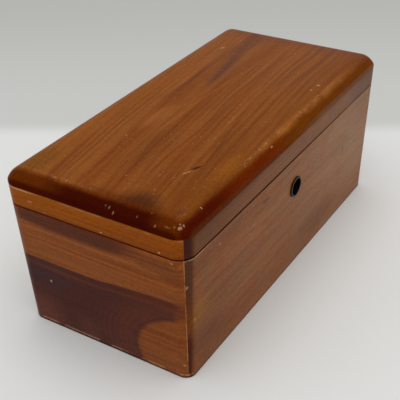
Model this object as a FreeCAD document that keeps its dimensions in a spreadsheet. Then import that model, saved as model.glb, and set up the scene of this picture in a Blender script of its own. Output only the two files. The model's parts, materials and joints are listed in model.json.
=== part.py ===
"""Keepsake box in red cedar: leaning mitred walls, a hinged lid and a small box lock, in millimetres.

The origin is the middle of the underside, +X runs along the front, -Y is the front and +Z is up.
"""
import FreeCAD, Part
import math
import os

import Sketcher
from FreeCAD import Placement, Rotation, Vector

os.makedirs("parts", exist_ok=True)
doc = FreeCAD.newDocument("keepsake_box")

# Driving dimensions, in millimetres and degrees
SIZES = {
    "seam_length": 229.0,        # outside length at the top edge of the walls
    "seam_width": 111.4,         # outside width at the top edge of the walls
    "body_height": 77.0,         # height of the walls
    "wall_lean": 2.36,           # angle by which each wall leans out towards the top
    "wall": 9.5,                 # thickness of walls and lid rails, measured level
    "foot_radius": 5.8,          # rounding of the upright corners at the ground, which the lean widens
    "edge_ease": 0.5,            # rounding of the walls' and rails' long edges
    "seam_gap": 0.6,             # crack between walls and closed lid
    "rail_height": 11.6,         # height of the lid's frame
    "board_thickness": 7.7,      # thickness of the lid board
    "round_over": 10.8,          # width of the rounded margin of the lid board
    "board_edge": 1.0,           # upright edge left below that margin
    "bottom_thickness": 5.0,
    "bottom_lift": 4.0,          # underside of the bottom board above the ground
    "groove_depth": 4.0,         # how far the bottom board's groove goes into the walls
    "panel_clearance": 0.3,      # play of the bottom board in its groove
    "hinge_inset": 48.5,         # from the ends of the box to the middles of the hinges
    "hinge_width": 25.0,
    "leaf_depth": 7.5,           # from the pin to the inner edge of a leaf
    "leaf_thickness": 0.9,
    "leaf_gap": 0.3,             # between the two leaves of the closed hinge
    "barrel_radius": 1.8,
    "pin_radius": 0.75,
    "pin_clearance": 0.05,       # between the pin and the knuckles
    "knuckle_gap": 0.2,          # end play between neighbouring knuckles
    "knuckle_clearance": 0.35,   # between a knuckle and what it turns in
    "gain_clearance": 0.1,       # round a metal part that is let into the wood
    "hinge_screw_pitch": 14.0,
    "hinge_screw_inset": 3.1,    # from the leaf's inner edge to the screws
    "screw_head_radius": 1.9,
    "screw_head_height": 1.0,
    "screw_shank_radius": 0.95,
    "screw_tip_radius": 0.3,
    "screw_length": 7.0,
    "screw_clearance": 0.05,
    "lock_width": 34.0,
    "lock_height": 27.0,
    "lock_depth": 5.0,           # cover plate and case together
    "lock_sheet": 1.0,           # sheet metal of the case and its cover plate
    "cover_width": 44.0,
    "cover_corner": 2.0,
    "cover_screw_drop": 6.0,     # from the cover's upper and lower edges to its screws
    "keyhole_drop": 19.0,        # from the walls' top edge to the keyhole
    "keyhole_radius": 5.2,
    "ferrule_radius": 5.7,
    "collar_radius": 6.2,
    "collar_height": 1.0,        # how far the ferrule stands proud of the front
    "collar_round": 0.5,
    "bolt_clearance": 0.3,       # round the bolt in its case
    "bolt_travel": 3.0,
    "bolt_left": 11.0,           # reach of the bolt to the left of the keyhole
    "bolt_right": 15.5,          # reach of the bolt to the right of the keyhole
    "bolt_bar_drop": 8.5,        # from the lock's top edge to the bolt's lower bar
    "bolt_bar_height": 6.0,
    "bolt_riser_width": 6.0,
    "bolt_finger_height": 3.4,
    "talon_width": 4.0,
    "talon_depth": 3.0,
    "stud_radius": 1.2,
    "stud_inset": 3.0,           # from the case's inner sides to the middle of the guide studs
    "spring_thickness": 0.5,
    "spring_width": 1.6,
    "hook_width": 3.0,
    "hook_thickness": 1.8,
    "hook_reach": 3.0,           # length of the hook's foot
    "hook_foot_height": 2.0,
    "hook_clearance": 0.5,       # between the hook and the bolt that goes over its foot
    "strike_length": 30.0,
    "strike_width": 7.0,
    "strike_thickness": 1.0,
    "strike_corner": 1.5,
    "strike_screw_pitch": 21.0,
}
sheet = doc.addObject("Spreadsheet::Sheet", "Sizes")
for row, (alias, size) in enumerate(SIZES.items(), start=1):
    sheet.set(f"A{row}", alias)
    sheet.set(f"B{row}", str(size))
    sheet.setAlias(f"B{row}", alias)
doc.recompute()

# How far a cutting tool reaches past what it cuts, and what still counts as level
OVERSHOOT = "Sizes.wall / 2"
LEVEL = 0.001

# Heights and places that several pieces share, as expressions
WALL_TOP = "Sizes.body_height"
LID_LOW = "(Sizes.body_height + Sizes.seam_gap)"
RAIL_TOP = "(Sizes.body_height + Sizes.seam_gap + Sizes.rail_height)"
X_AXIS = Vector(1, 0, 0)
Y_AXIS = Vector(0, 1, 0)
Z_AXIS = Vector(0, 0, 1)


def half(size, height):
    """Half of an outside size of the leaning walls at a height."""
    return f"(Sizes.{size} / 2 + ({height} - Sizes.body_height) * tan(Sizes.wall_lean))"


def corner(height):
    """Rounding of the upright corners at a height."""
    return f"(Sizes.foot_radius + {height} * tan(Sizes.wall_lean))"


def inner_half(size, height):
    """Half of an inside size of the leaning walls at a height."""
    return f"({half(size, height)} - Sizes.wall)"


PIN_Y = f"({half('seam_width', RAIL_TOP)} - Sizes.barrel_radius)"
PIN_Z = "(Sizes.body_height + Sizes.seam_gap / 2)"
LOCK_Y = "(Sizes.wall - Sizes.seam_width / 2)"
STRIKE_Y = "(Sizes.wall - Sizes.seam_width) / 2"


def place(item, x="0", y="0", z="0", axis=Z_AXIS, angle="0"):
    """Binds an object's place, and its turn about one axis, to expressions."""
    item.Placement = Placement(Vector(0, 0, 0), Rotation(axis, 1))
    item.setExpression("Placement.Rotation.Angle", angle)
    item.setExpression("Placement.Base.x", x)
    item.setExpression("Placement.Base.y", y)
    item.setExpression("Placement.Base.z", z)
    return item


def place_in_lock(item):
    """Puts an object, made round the top edge of the front wall's inner face, on that leaning face."""
    return place(item, y=LOCK_Y, z=WALL_TOP, axis=X_AXIS, angle="Sizes.wall_lean")


def box(name, x, y, z):
    """A block between a low and a high expression on each axis."""
    item = doc.addObject("Part::Box", name)
    for prop, (low, high) in zip(("Length", "Width", "Height"), (x, y, z)):
        item.setExpression(prop, f"({high}) - ({low})")
    return place(item, x[0], y[0], z[0])


def both(size):
    """A range of the same size to both sides of the middle."""
    return f"-({size})", size


def cylinder(name, radius, start, end, along, x="0", y="0", z="0"):
    """A round bar along X or Y, from start to end."""
    item = doc.addObject("Part::Cylinder", name)
    item.setExpression("Radius", radius)
    item.setExpression("Height", f"({end}) - ({start})")
    if along == "X":
        return place(item, start, y, z, Y_AXIS, "90")
    return place(item, x, start, z, X_AXIS, "-90")


def union(name, *items):
    item = doc.addObject("Part::MultiFuse", name)
    item.Shapes = list(items)
    return item


def cut(name, base, *tools):
    """A piece less one or more tools."""
    item = doc.addObject("Part::Cut", name)
    item.Base = base
    item.Tool = tools[0] if len(tools) == 1 else union(f"{name}_tools", *tools)
    return item


def group(name, items):
    """Separate like solids under one name."""
    item = doc.addObject("Part::Compound", name)
    item.Links = items
    return item


def outline(sketch, points):
    """Draws a closed run of straight lines through points that are given as pairs of expressions."""
    count = len(points)
    turn = 2 * math.pi / count
    rough = [Vector(10 * math.cos(i * turn), 10 * math.sin(i * turn), 0) for i in range(count)]
    for i in range(count):
        sketch.addGeometry(Part.LineSegment(rough[i], rough[(i + 1) % count]))
    for i, (x, y) in enumerate(points):
        sketch.addConstraint(Sketcher.Constraint("Coincident", i, 2, (i + 1) % count, 1))
        fix_point(sketch, i, 1, x, y)
    return sketch


def fix_point(sketch, line, end, x, y):
    """Binds one end of a line to its distances from the sketch's origin."""
    for kind, expression in (("DistanceX", x), ("DistanceY", y)):
        distance = sketch.evalExpression(expression)
        index = sketch.addConstraint(Sketcher.Constraint(kind, -1, 1, line, end, distance))
        sketch.setExpression(f"Constraints[{index}]", expression)


def rectangle(x, y):
    return [(x[0], y[0]), (x[1], y[0]), (x[1], y[1]), (x[0], y[1])]


def flat_sketch(body, name, role, offset="0"):
    """An empty sketch on one of a body's own origin planes, moved along that plane's normal."""
    sketch = body.newObject("Sketcher::SketchObject", name)
    plane = next(item for item in body.Origin.OriginFeatures if item.Role == role)
    sketch.AttachmentSupport = [(plane, "")]
    sketch.MapMode = "FlatFace"
    sketch.setExpression("AttachmentOffset.Base.z", offset)
    return sketch


def body_sketch(body, name, role, points, offset="0"):
    """A straight-sided outline on one of a body's own origin planes."""
    return outline(flat_sketch(body, name, role, offset), points)


def pulled(body, sketch, length, taper="0"):
    """Pulls a body's outline up along its normal."""
    pad = body.newObject("PartDesign::Pad", f"{body.Name}_pad")
    pad.Profile = sketch
    pad.setExpression("Length", length)
    pad.setExpression("TaperAngle", taper)
    doc.recompute()
    return body


def padded(name, role, points, length, offset="0"):
    """A body with one straight-sided outline pulled up."""
    body = doc.addObject("PartDesign::Body", name)
    return pulled(body, body_sketch(body, f"{name}_outline", role, points, offset), length)


def fillet(body, radius, wanted):
    """Rounds those edges of a body that the wanted function picks."""
    edges = [f"Edge{i}" for i, edge in enumerate(body.Shape.Edges, start=1) if wanted(edge)]
    sharp = body.Tip
    feature = body.newObject("PartDesign::Fillet", f"{body.Name}_round")
    feature.Base = (sharp, edges)
    feature.setExpression("Radius", radius)
    body.Tip = feature
    doc.recompute()


def is_along(axis):
    """Picks straight edges that run along an axis, give or take the walls' lean."""
    def wanted(edge):
        start, end = (vertex.Point for vertex in edge.Vertexes)
        return abs((end - start).normalize().dot(axis)) > 0.9
    return wanted


def screw(name, direction, x, y, z, clearance="0"):
    """A countersunk wood screw, or with a clearance the hole for it, with its head's face at a point."""
    head = doc.addObject("Part::Cone", f"{name}_head")
    head.setExpression("Radius1", f"Sizes.screw_shank_radius + {clearance}")
    head.setExpression("Radius2", f"Sizes.screw_head_radius + {clearance}")
    head.setExpression("Height", "Sizes.screw_head_height")
    head.setExpression("Placement.Base.z", "-Sizes.screw_head_height")
    shank = doc.addObject("Part::Cone", f"{name}_shank")
    shank.setExpression("Radius1", f"Sizes.screw_tip_radius + {clearance}")
    shank.setExpression("Radius2", f"Sizes.screw_shank_radius + {clearance}")
    shank.setExpression("Height", f"Sizes.screw_length - Sizes.screw_head_height + {clearance}")
    shank.setExpression("Placement.Base.z", f"-Sizes.screw_length - {clearance}")
    turn = {"down": "0", "up": "180", "forward": "-90"}[direction]
    return place(union(name, head, shank), x, y, z, X_AXIS, turn)


def screws_and_holes(name, direction, spots):
    """The screws at some spots, and the holes that clear them."""
    items = []
    holes = []
    for i, (x, y, z) in enumerate(spots, start=1):
        items.append(screw(f"{name}_{i}", direction, x, y, z))
        holes.append(screw(f"{name}_hole_{i}", direction, x, y, z, "Sizes.screw_clearance"))
    return items, holes


# Blanks: the leaning frames of walls and rails, still in one, and the sectors that mitre them
def rounded_plan(body, name, level):
    """The walls' outline at a level, with its rounded corners."""
    sketch = flat_sketch(body, name, "XY_Plane", level)
    reach_x = half("seam_length", level)
    reach_y = half("seam_width", level)
    radius = corner(level)
    wide, deep, rounding = (sketch.evalExpression(size) for size in (reach_x, reach_y, radius))
    quarter = math.pi / 2
    ends = []
    for i, (x, y) in enumerate(((1, -1), (1, 1), (-1, 1), (-1, -1))):
        middle = Vector(x * (wide - rounding), y * (deep - rounding), 0)
        arc = Part.ArcOfCircle(Part.Circle(middle, Z_AXIS, rounding), (i - 1) * quarter, i * quarter)
        ends.append((arc.StartPoint, arc.EndPoint))
        sketch.addGeometry(arc)
        index = sketch.addConstraint(Sketcher.Constraint("Radius", i, rounding))
        sketch.setExpression(f"Constraints[{index}]", radius)
        on_side = (f"{x} * {reach_x}", f"{y} * ({reach_y} - {radius})")
        on_front = (f"{x} * ({reach_x} - {radius})", f"{y} * {reach_y}")
        starts_in_front = x * y < 0
        fix_point(sketch, i, 1, *(on_front if starts_in_front else on_side))
        fix_point(sketch, i, 2, *(on_side if starts_in_front else on_front))
    for i in range(4):
        following = (i + 1) % 4
        line = sketch.addGeometry(Part.LineSegment(ends[i][1], ends[following][0]))
        sketch.addConstraint(Sketcher.Constraint("Coincident", i, 2, line, 1))
        sketch.addConstraint(Sketcher.Constraint("Coincident", line, 2, following, 1))
    return sketch


def leaning_frame(name, low, height, eased):
    """A rounded ring of leaning boards; its outer edges at the eased heights are rounded."""
    block = doc.addObject("PartDesign::Body", f"{name}_block")
    pulled(block, rounded_plan(block, f"{name}_plan", low), height, "Sizes.wall_lean")

    def on_eased_rim(edge):
        box_of_edge = edge.BoundBox
        level = box_of_edge.ZMax - block.Shape.BoundBox.ZMin
        at_top = level > block.Shape.BoundBox.ZLength / 2
        return box_of_edge.ZLength < LEVEL and ("top" if at_top else "bottom") in eased

    fillet(block, "Sizes.edge_ease", on_eased_rim)
    hollow = doc.addObject("Part::Wedge", f"{name}_hollow")
    bottom = f"({low} - {OVERSHOOT})"
    top = f"({low} + {height} + {OVERSHOOT})"
    for low_prop, high_prop, size, level in (
            ("Xmin", "Xmax", "seam_length", bottom), ("X2min", "X2max", "seam_length", top),
            ("Zmin", "Zmax", "seam_width", bottom), ("Z2min", "Z2max", "seam_width", top)):
        hollow.setExpression(low_prop, f"-{inner_half(size, level)}")
        hollow.setExpression(high_prop, inner_half(size, level))
    hollow.setExpression("Ymin", bottom)
    hollow.setExpression("Ymax", top)
    place(hollow, axis=X_AXIS, angle="90")
    return cut(f"{name}_frame", block, hollow)


def mitre_sector(name, along, across, turn):
    """The part of the plan that one board of a mitred frame takes up, with 45 degree ends."""
    sector = doc.addObject("Part::Wedge", name)
    reach = f"(Sizes.{along} / 2 + {OVERSHOOT})"
    depth = f"(2 * Sizes.wall + {OVERSHOOT})"
    front = f"-(Sizes.{across} / 2 + {OVERSHOOT})"
    for prop, expression in (
            ("Xmin", f"-{reach}"), ("Xmax", reach),
            ("X2min", f"-({reach} - {depth})"), ("X2max", f"{reach} - {depth}"),
            ("Ymin", front), ("Ymax", f"{front} + {depth}"),
            ("Zmin", f"-{OVERSHOOT}"), ("Z2min", f"-{OVERSHOOT}"),
            ("Zmax", f"{RAIL_TOP} + {OVERSHOOT}"), ("Z2max", f"{RAIL_TOP} + {OVERSHOOT}")):
        sector.setExpression(prop, expression)
    return place(sector, angle=turn)


SECTORS = {
    "front": mitre_sector("front_sector", "seam_length", "seam_width", "0"),
    "right": mitre_sector("right_sector", "seam_width", "seam_length", "90"),
    "back": mitre_sector("back_sector", "seam_length", "seam_width", "180"),
    "left": mitre_sector("left_sector", "seam_width", "seam_length", "-90"),
}
wall_frame = leaning_frame("wall", "0", WALL_TOP, ("top", "bottom"))
rail_frame = leaning_frame("rail", LID_LOW, "Sizes.rail_height", ("bottom",))


def mitred_board(name, frame, side):
    """One board of a frame, between its two mitres."""
    item = doc.addObject("Part::Common", name)
    item.Base = frame
    item.Tool = SECTORS[side]
    return item


# Bottom board, which lies loose in a groove round the four walls
bottom_top = "Sizes.bottom_lift + Sizes.bottom_thickness"
groove_x = f"({inner_half('seam_length', 'Sizes.bottom_lift')} + Sizes.groove_depth)"
groove_y = f"({inner_half('seam_width', 'Sizes.bottom_lift')} + Sizes.groove_depth)"
groove = box(
    "bottom_groove", both(groove_x), both(groove_y),
    ("Sizes.bottom_lift", f"{bottom_top} + Sizes.panel_clearance"))
bottom_panel = box(
    "bottom_panel", both(f"{groove_x} - Sizes.panel_clearance"),
    both(f"{groove_y} - Sizes.panel_clearance"), ("Sizes.bottom_lift", bottom_top))

# Lid board: a long and an end section round its margins over, and turned quarters carry them round
BOARD_X = half("seam_length", RAIL_TOP)
BOARD_Y = half("seam_width", RAIL_TOP)
BOARD_CORNER = corner(RAIL_TOP)
arc_height = "(Sizes.board_thickness - Sizes.board_edge)"
arc_radius = f"(Sizes.round_over ^ 2 + {arc_height} ^ 2) / (2 * {arc_height})"


def rounded_section(name, reach, length, axis, turn):
    """The board's cross-section, with an arc from each upright edge to the flat top, drawn out level."""
    sketch = doc.addObject("Sketcher::SketchObject", f"{name}_outline")
    flat_reach = f"({reach} - Sizes.round_over)"
    side, flat, thickness, edge, margin, radius = (sketch.evalExpression(size) for size in (
        reach, flat_reach, "Sizes.board_thickness", "Sizes.board_edge", "Sizes.round_over", arc_radius))
    middle = thickness - radius
    swing = math.asin(margin / radius)
    upright = math.pi / 2
    rough = [Vector(x, y, 0) for x, y in (
        (-side, 0), (side, 0), (side, edge), (flat, thickness), (-flat, thickness), (-side, edge))]

    def arc(x, start, end):
        circle = Part.Circle(Vector(x, middle, 0), Z_AXIS, radius)
        return Part.ArcOfCircle(circle, start, end)

    for item in (
            Part.LineSegment(rough[0], rough[1]), Part.LineSegment(rough[1], rough[2]),
            arc(flat, upright - swing, upright), Part.LineSegment(rough[3], rough[4]),
            arc(-flat, upright, upright + swing), Part.LineSegment(rough[5], rough[0])):
        sketch.addGeometry(item)
    for i in range(6):
        sketch.addConstraint(Sketcher.Constraint("Coincident", i, 2, (i + 1) % 6, 1))
    fix_point(sketch, 0, 1, f"-{reach}", "0")
    fix_point(sketch, 1, 1, reach, "0")
    fix_point(sketch, 1, 2, reach, "Sizes.board_edge")
    fix_point(sketch, 3, 1, flat_reach, "Sizes.board_thickness")
    fix_point(sketch, 3, 2, f"-{flat_reach}", "Sizes.board_thickness")
    fix_point(sketch, 5, 1, f"-{reach}", "Sizes.board_edge")
    for line in (2, 4):
        index = sketch.addConstraint(Sketcher.Constraint("Radius", line, radius))
        sketch.setExpression(f"Constraints[{index}]", arc_radius)
    sketch.Placement = Placement(Vector(0, 0, 0), turn)
    sketch.setExpression("Placement.Base.z", RAIL_TOP)
    section = doc.addObject("Part::Extrusion", name)
    section.Base = sketch
    section.DirMode = "Custom"
    section.Dir = axis
    section.setExpression("LengthFwd", length)
    section.Symmetric = True
    section.Solid = True
    return section


def turned_quarter(name, x, y, turn):
    """One corner of the board: the margin's section, turned about the middle of the corner's rounding."""
    sketch = doc.addObject("Sketcher::SketchObject", f"{name}_outline")
    arc_x = f"({BOARD_CORNER} - Sizes.round_over)"
    inner_height = f"(Sizes.board_thickness - {arc_radius} + sqrt(({arc_radius}) ^ 2 - {arc_x} ^ 2))"
    reach, edge, inner, middle, radius, thickness = (sketch.evalExpression(size) for size in (
        BOARD_CORNER, "Sizes.board_edge", inner_height, arc_x, arc_radius, "Sizes.board_thickness"))
    circle = Part.Circle(Vector(middle, thickness - radius, 0), Z_AXIS, radius)
    low, rim, face, top = (Vector(*point, 0) for point in ((0, 0), (reach, 0), (reach, edge), (0, inner)))
    for item in (
            Part.LineSegment(low, rim), Part.LineSegment(rim, face),
            Part.ArcOfCircle(circle, circle.parameter(face), circle.parameter(top)),
            Part.LineSegment(top, low)):
        sketch.addGeometry(item)
    for i in range(4):
        sketch.addConstraint(Sketcher.Constraint("Coincident", i, 2, (i + 1) % 4, 1))
    fix_point(sketch, 0, 1, "0", "0")
    fix_point(sketch, 1, 1, BOARD_CORNER, "0")
    fix_point(sketch, 1, 2, BOARD_CORNER, "Sizes.board_edge")
    fix_point(sketch, 3, 1, "0", inner_height)
    index = sketch.addConstraint(Sketcher.Constraint("Radius", 2, radius))
    sketch.setExpression(f"Constraints[{index}]", arc_radius)
    sketch.Placement = Placement(Vector(0, 0, 0), Rotation(X_AXIS, 90))
    quarter = doc.addObject("Part::Revolution", name)
    quarter.Source = sketch
    quarter.Axis = Z_AXIS
    quarter.Angle = 90
    quarter.Solid = True
    return place(quarter, x, y, RAIL_TOP, Z_AXIS, turn)


board_blank = doc.addObject("Part::MultiCommon", "board_blank")
board_blank.Shapes = [
    rounded_section(
        "board_long_section", BOARD_Y, f"2 * {BOARD_X}", X_AXIS, Rotation(Vector(1, 1, 1), 120)),
    rounded_section("board_end_section", BOARD_X, f"2 * {BOARD_Y}", Y_AXIS, Rotation(X_AXIS, 90)),
]
board_corners = []
board_quarters = []
for spot, x, y, turn in (
        ("back_right", "", "", "0"), ("back_left", "-", "", "90"),
        ("front_left", "-", "-", "180"), ("front_right", "", "-", "270")):
    at = {"x": f"{x}({BOARD_X} - {BOARD_CORNER})", "y": f"{y}({BOARD_Y} - {BOARD_CORNER})"}
    side = ("0", f"{BOARD_CORNER} + {OVERSHOOT}")
    square = box(f"{spot}_square", side, side, (f"-{OVERSHOOT}", f"Sizes.board_thickness + {OVERSHOOT}"))
    board_corners.append(place(group(f"{spot}_waste", [square]), **at, z=RAIL_TOP, angle=turn))
    board_quarters.append(turned_quarter(f"{spot}_quarter", turn=turn, **at))
lid_top = union("lid_top", cut("board_cross", board_blank, *board_corners), *board_quarters)


# Hinges: two small brass butts, let into the back edges, each with a loose pin in three knuckles
leaf_end = "Sizes.hinge_width / 2"
knuckle = "Sizes.hinge_width / 6"
slack = "Sizes.knuckle_gap / 2"
leaf_inner = "Sizes.leaf_gap / 2"
leaf_outer = "(Sizes.leaf_gap / 2 + Sizes.leaf_thickness)"
barrel_room = "Sizes.barrel_radius + Sizes.knuckle_clearance"
far = f"({leaf_end} + {OVERSHOOT})"
LEAVES = {
    "body": {
        "z": (f"-{leaf_outer}", f"-{leaf_inner}"),
        "seat": (f"-{leaf_outer}", OVERSHOOT),
        "knuckles": [(f"-{leaf_end}", f"-({knuckle} + {slack})"), (f"{knuckle} + {slack}", leaf_end)],
        "rooms": [(f"-({knuckle} + {slack})", f"{knuckle} + {slack}")],
        "screw_way": "down",
        "screw_z": f"-{leaf_inner}",
    },
    "lid": {
        "z": (leaf_inner, leaf_outer),
        "seat": (f"-{OVERSHOOT}", leaf_outer),
        "knuckles": [(f"-({knuckle} - {slack})", f"{knuckle} - {slack}")],
        "rooms": [(f"-{far}", f"-({knuckle} - {slack})"), (f"{knuckle} - {slack}", far)],
        "screw_way": "up",
        "screw_z": leaf_inner,
    },
}
leaf_screws = {"body": [], "lid": []}
gains = {"body": [], "lid": []}
hinge_parts = []


def hinge_leaf(name, leaf, x_middle):
    """One leaf with its knuckles, its screws, and the gain that seats it in the wood."""
    at_pin = {"x": x_middle, "y": PIN_Y, "z": PIN_Z}
    plate = box(f"{name}_plate", both(leaf_end), ("-Sizes.leaf_depth", "0"), leaf["z"])
    rooms = [
        cylinder(f"{name}_room_{i}", barrel_room, start, end, "X")
        for i, (start, end) in enumerate(leaf["rooms"], start=1)]
    knuckles = [
        cylinder(f"{name}_knuckle_{i}", "Sizes.barrel_radius", start, end, "X")
        for i, (start, end) in enumerate(leaf["knuckles"], start=1)]
    screw_y = "Sizes.hinge_screw_inset - Sizes.leaf_depth"
    spots = [(f"{sign}Sizes.hinge_screw_pitch / 2", screw_y, leaf["screw_z"]) for sign in ("-", "")]
    screws, holes = screws_and_holes(f"{name}_screw", leaf["screw_way"], spots)
    bore = cylinder(f"{name}_bore", "Sizes.pin_radius + Sizes.pin_clearance", f"-{far}", far, "X")
    blank = union(f"{name}_blank", cut(f"{name}_notched", plate, *rooms), *knuckles)
    piece = place(cut(name, blank, bore, *holes), **at_pin)
    seat = box(
        f"{name}_seat", both(f"{leaf_end} + Sizes.gain_clearance"),
        ("-(Sizes.leaf_depth + Sizes.gain_clearance)", OVERSHOOT), leaf["seat"])
    barrel = cylinder(
        f"{name}_barrel", barrel_room, f"-({leaf_end} + Sizes.gain_clearance)",
        f"{leaf_end} + Sizes.gain_clearance", "X")
    gain = place(union(f"{name}_gain", seat, barrel, *holes), **at_pin)
    return piece, gain, place(group(f"{name}_screws", screws), **at_pin)


for side, sign in (("left", "-"), ("right", "")):
    x_middle = f"{sign}(Sizes.seam_length / 2 - Sizes.hinge_inset)"
    for leaf_name, leaf in LEAVES.items():
        piece, gain, screws = hinge_leaf(f"{side}_hinge_{leaf_name}_leaf", leaf, x_middle)
        hinge_parts.append(piece)
        gains[leaf_name].append(gain)
        leaf_screws[leaf_name].append(screws)
    pin = cylinder(f"{side}_hinge_pin_bar", "Sizes.pin_radius", f"-{leaf_end}", leaf_end, "X")
    hinge_parts.append(place(group(f"{side}_hinge_pin", [pin]), x_middle, PIN_Y, PIN_Z))
hinge_body_screws = group("hinge_body_screws", leaf_screws["body"])
hinge_lid_screws = group("hinge_lid_screws", leaf_screws["lid"])


def stop_bevel(name, height):
    """The 45 degree bevel planed off behind the pin, against which the open lid comes to a stop."""
    planed = box(name, both(BOARD_X), ("0", "Sizes.wall"), ("0", "Sizes.wall"))
    return place(planed, f"-{BOARD_X}", PIN_Y, height, X_AXIS, "-45")


body_stop = stop_bevel("body_stop_bevel", WALL_TOP)
lid_stop = stop_bevel("lid_stop_bevel", LID_LOW)

# Lock: a case of sheet steel in a mortise, closed by a screwed cover plate on the box's inner face
case_x = "Sizes.lock_width / 2"
cavity_x = f"({case_x} - Sizes.lock_sheet)"
cavity_back = "(Sizes.lock_depth - Sizes.lock_sheet)"
outer_face = "(Sizes.wall * cos(Sizes.wall_lean))"
hook_x = "Sizes.hook_width / 2"
foot_x = f"({hook_x} + Sizes.hook_reach)"
stud_z = "-(Sizes.bolt_bar_drop + Sizes.bolt_bar_height + Sizes.bolt_clearance + Sizes.stud_radius)"
case_tray = cut(
    "lock_case_tray",
    box("lock_case_block", both(case_x), ("-Sizes.lock_depth", "-Sizes.lock_sheet"),
        ("-Sizes.lock_height", "0")),
    box("lock_cavity", both(cavity_x), (f"-{cavity_back}", "0"),
        ("Sizes.lock_sheet - Sizes.lock_height", "-Sizes.lock_sheet")),
    box("hook_slot", (f"-({hook_x} + Sizes.hook_clearance)", f"{foot_x} + Sizes.hook_clearance"),
        (f"-{cavity_back}", "-Sizes.lock_sheet"), ("-2 * Sizes.lock_sheet", "Sizes.lock_sheet")),
    cylinder("case_keyhole", "Sizes.keyhole_radius + Sizes.bolt_clearance",
             "-Sizes.lock_depth - Sizes.lock_sheet", "-Sizes.lock_sheet", "Y", z="-Sizes.keyhole_drop"))
guide_studs = [
    cylinder(f"guide_stud_{side}", "Sizes.stud_radius", f"-{cavity_back}",
             "-(Sizes.lock_sheet + Sizes.bolt_clearance)", "Y", x=x, z=stud_z)
    for side, x in (("left", f"Sizes.stud_inset - {cavity_x}"), ("right", f"{cavity_x} - Sizes.stud_inset"))]
lock_case = place_in_lock(union("lock_case", case_tray, *guide_studs))

cover_x = "Sizes.cover_width / 2"
cover_blank = padded(
    "lock_cover_blank", "XZ_Plane", rectangle(both(cover_x), ("-Sizes.lock_height", "0")),
    "Sizes.lock_sheet")
fillet(cover_blank, "Sizes.cover_corner", is_along(Y_AXIS))
cover_screw_x = f"({case_x} + {cover_x}) / 2"
cover_spots = [
    (f"{sign}{cover_screw_x}", "0", z)
    for sign in ("-", "")
    for z in ("-Sizes.cover_screw_drop", "Sizes.cover_screw_drop - Sizes.lock_height")]
cover_screws, cover_holes = screws_and_holes("lock_cover_screw", "forward", cover_spots)
lock_cover_plate = place_in_lock(cut("lock_cover_plate", cover_blank, *cover_holes))
lock_cover_screws = place_in_lock(group("lock_cover_screws", cover_screws))

# Keyhole ferrule: a turned eyelet with a rolled collar that stands proud of the front
ferrule = doc.addObject("PartDesign::Body", "keyhole_ferrule")
ferrule_low = "-(Sizes.lock_depth + Sizes.gain_clearance)"
collar_face = f"-({outer_face} + Sizes.collar_height)"
ferrule_outline = body_sketch(ferrule, "ferrule_outline", "XY_Plane", [
    ("Sizes.keyhole_radius", ferrule_low),
    ("Sizes.keyhole_radius", collar_face),
    ("Sizes.collar_radius", collar_face),
    ("Sizes.collar_radius", f"-{outer_face}"),
    ("Sizes.ferrule_radius", f"-{outer_face}"),
    ("Sizes.ferrule_radius", ferrule_low)])
turned = ferrule.newObject("PartDesign::Revolution", "ferrule_turned")
turned.Profile = ferrule_outline
turned.ReferenceAxis = (ferrule_outline, ["V_Axis"])
turned.Angle = 360
doc.recompute()


def is_collar_rim(edge):
    """Picks the outer rim of the collar's face."""
    rim = edge.BoundBox
    face = ferrule.Shape.BoundBox
    at_face = rim.YLength < LEVEL and rim.YMin < face.YMin + LEVEL
    return at_face and rim.XLength > face.XLength - LEVEL


fillet(ferrule, "Sizes.collar_round", is_collar_rim)
place(
    ferrule, "0", f"{LOCK_Y} + Sizes.keyhole_drop * sin(Sizes.wall_lean)",
    f"{WALL_TOP} - Sizes.keyhole_drop * cos(Sizes.wall_lean)", X_AXIS, "Sizes.wall_lean")

# Lock bolt: a plate whose finger slides over the hook's foot when the key throws it to the left
bar_top = "-Sizes.bolt_bar_drop"
bar_low = "-(Sizes.bolt_bar_drop + Sizes.bolt_bar_height)"
finger_top = "-(Sizes.lock_sheet + Sizes.bolt_clearance)"
finger_low = f"{finger_top} - Sizes.bolt_finger_height"
finger_tip = f"{hook_x} + Sizes.hook_clearance + Sizes.bolt_travel"
talon_left = "Sizes.bolt_travel / 2 - Sizes.talon_width / 2"
talon_right = "Sizes.bolt_travel / 2 + Sizes.talon_width / 2"
bolt_front = "(Sizes.lock_sheet + Sizes.bolt_clearance)"
bolt_depth = f"({cavity_back} - Sizes.lock_sheet - 2 * Sizes.bolt_clearance)"
riser_x = "Sizes.bolt_right - Sizes.bolt_riser_width"
lock_bolt = place_in_lock(padded("lock_bolt", "XZ_Plane", [
    ("-Sizes.bolt_left", bar_low),
    (talon_left, bar_low),
    (talon_left, f"{bar_low} + Sizes.talon_depth"),
    (talon_right, f"{bar_low} + Sizes.talon_depth"),
    (talon_right, bar_low),
    ("Sizes.bolt_right", bar_low),
    ("Sizes.bolt_right", finger_top),
    (finger_tip, finger_top),
    (finger_tip, finger_low),
    (riser_x, finger_low),
    (riser_x, bar_top),
    ("-Sizes.bolt_left", bar_top)], bolt_depth, offset=bolt_front))

# Flat spring: stands on the bolt's bar and bears on the case's top edge, a quarter of a ring
spring_radius = f"({finger_top} - {bar_top})"
spring_y = f"-({bolt_front} + {bolt_depth} / 2 - Sizes.spring_width / 2)"
spring_rings = []
for name, inset in (("outer", "0"), ("inner", "Sizes.spring_thickness")):
    ring = doc.addObject("Part::Cylinder", f"spring_{name}")
    ring.setExpression("Radius", f"{spring_radius} - {inset}")
    ring.setExpression("Height", "Sizes.spring_width")
    ring.Angle = 90
    spring_rings.append(place(ring, axis=Z_AXIS, angle="90"))
spring_strip = place(
    cut("spring_strip", *spring_rings), f"{spring_radius} - Sizes.bolt_left", spring_y, bar_top,
    X_AXIS, "90")
lock_bolt_spring = place_in_lock(group("lock_bolt_spring", [spring_strip]))

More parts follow.
